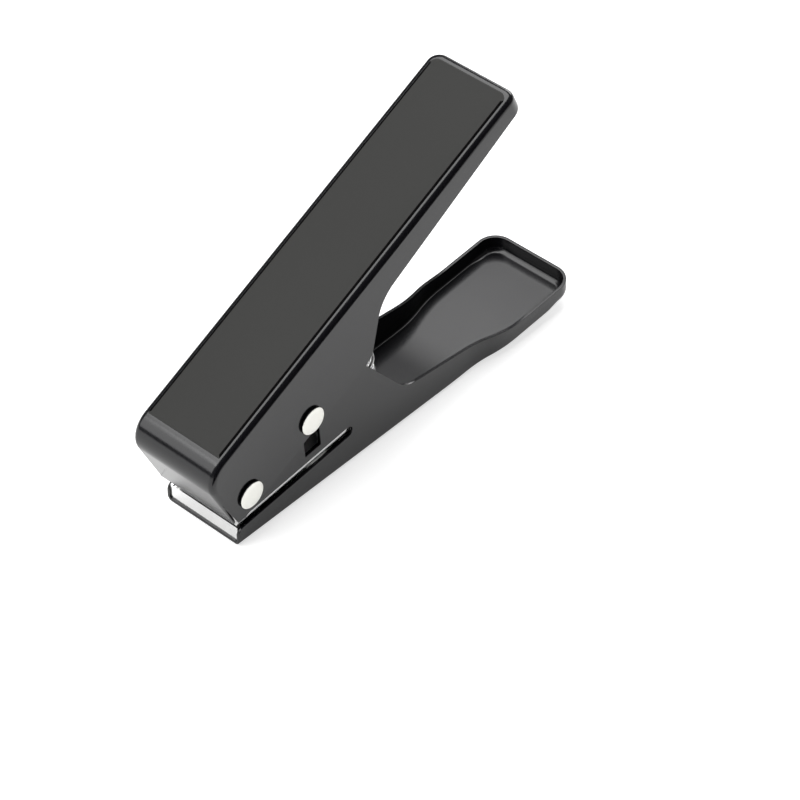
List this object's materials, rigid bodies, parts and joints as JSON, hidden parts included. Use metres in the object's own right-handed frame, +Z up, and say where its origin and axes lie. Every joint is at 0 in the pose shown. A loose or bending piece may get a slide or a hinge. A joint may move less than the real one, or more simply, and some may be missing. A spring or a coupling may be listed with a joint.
{
  "type": "guitar pick punch",
  "caption": "Hand lever punch with a strip slot, a die and a sprung lever that cuts plectrums from plastic strips and cards.",
  "frame": {"origin": "on the ground, under the middle of the base, on its centre plane", "axes": "+X from the nose towards the tray, +Y across to the left of someone looking along +X, +Z up"},
  "size_m": [0.1868, 0.0404, 0.1151],
  "materials": {
    "black_paint_base": "gloss black stove enamel",
    "black_paint_lever": "gloss black stove enamel",
    "matt_panel": "matt, bare",
    "plated_steel": "bright zinc plating",
    "tool_steel": "ground",
    "screw_steel": "zinc plated",
    "rivet_plating": "bright plating with a warm tint",
    "spring_steel": "bright plated wire"
  },
  "bodies": {
    "base": {"base_channel": "black_paint_base", "die_block": "plated_steel", "guide_block": "plated_steel", "strip_stop": "tool_steel", "die_screws": "screw_steel", "stop_screws": "screw_steel", "side_screws": "screw_steel", "pivot_pin": "rivet_plating", "pivot_sleeve": "screw_steel", "pivot_washers": "screw_steel", "return_spring": "spring_steel", "spring_cup": "screw_steel", "cup_rivet": "screw_steel"},
    "lever": {"lever": "black_paint_lever", "label_panel": "matt_panel", "punch_pin": "rivet_plating", "spring_cap": "screw_steel"},
    "punch": {"punch_cutter": "tool_steel", "punch_carrier": "tool_steel", "carrier_screws": "screw_steel"}
  },
  "joints": [
    {"name": "lever_hinge", "type": "hinge", "parent": "base", "child": "lever", "pos_m": [-0.0827, 0, 0.02273], "axis": [0, 1, 0], "range_deg": [0, 25], "stiffness_Nm_per_rad": 2.5, "springref_deg": -13.75, "deforming": ["return_spring"]},
    {"name": "punch_slide", "type": "slide", "parent": "base", "child": "punch", "axis": [0.1045, 0, -0.9945], "range_m": [0, 0.01408]}
  ],
  "couplings": [
    {"joint": "punch_slide", "follows": "lever_hinge", "m_per_rad": 0.032248}
  ]
}
